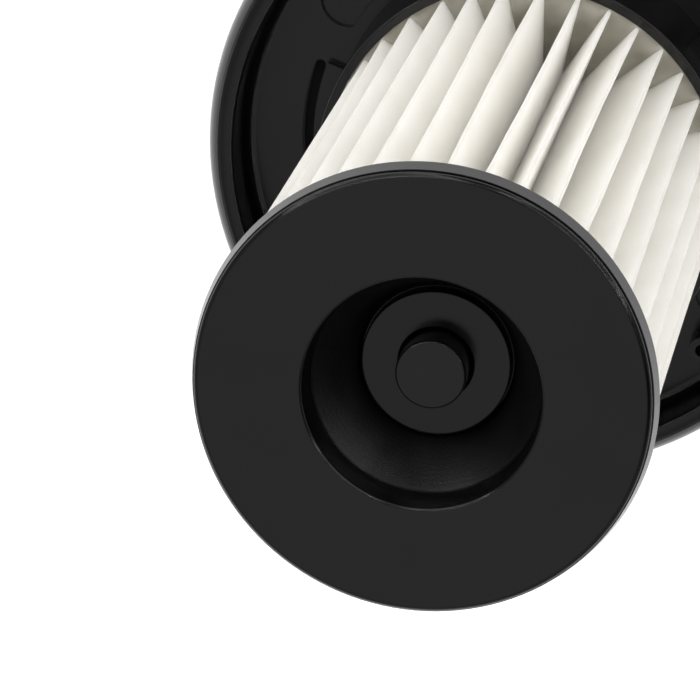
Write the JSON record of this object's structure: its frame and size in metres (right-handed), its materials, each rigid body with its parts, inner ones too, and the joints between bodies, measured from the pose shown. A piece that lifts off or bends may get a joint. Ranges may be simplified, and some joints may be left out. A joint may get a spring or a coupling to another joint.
{
  "type": "vacuum filter",
  "caption": "Pleated cartridge vacuum filter with a recessed round end cap, a support cage, a wide slotted flange with a raised rim, and a rear seal.",
  "frame": {"origin": "middle of the filter's resting plane, on its axis, at the rear face of the seal", "axes": "+Z along the filter's axis towards the end cap; +X and +Y across it, with the slots, pockets and bosses repeating every quarter turn"},
  "size_m": [0.1296, 0.1296, 0.1585],
  "materials": {
    "cap_plastic": "satin black moulded plastic with a fine grain",
    "pin_plastic": "satin black moulded plastic",
    "filter_paper": "matt fibrous filter paper",
    "potting": "cast glue, slightly uneven",
    "cage_plastic": "black moulded plastic",
    "flange_plastic": "satin black moulded plastic",
    "seal_rubber": "soft black rubber"
  },
  "bodies": {
    "root": {"end_cap": "cap_plastic", "centre_pin": "pin_plastic", "pleated_media": "filter_paper", "front_potting": "potting", "rear_potting": "potting", "inner_core": "cage_plastic", "flange": "flange_plastic", "seal_ring": "seal_rubber"}
  },
  "joints": []
}
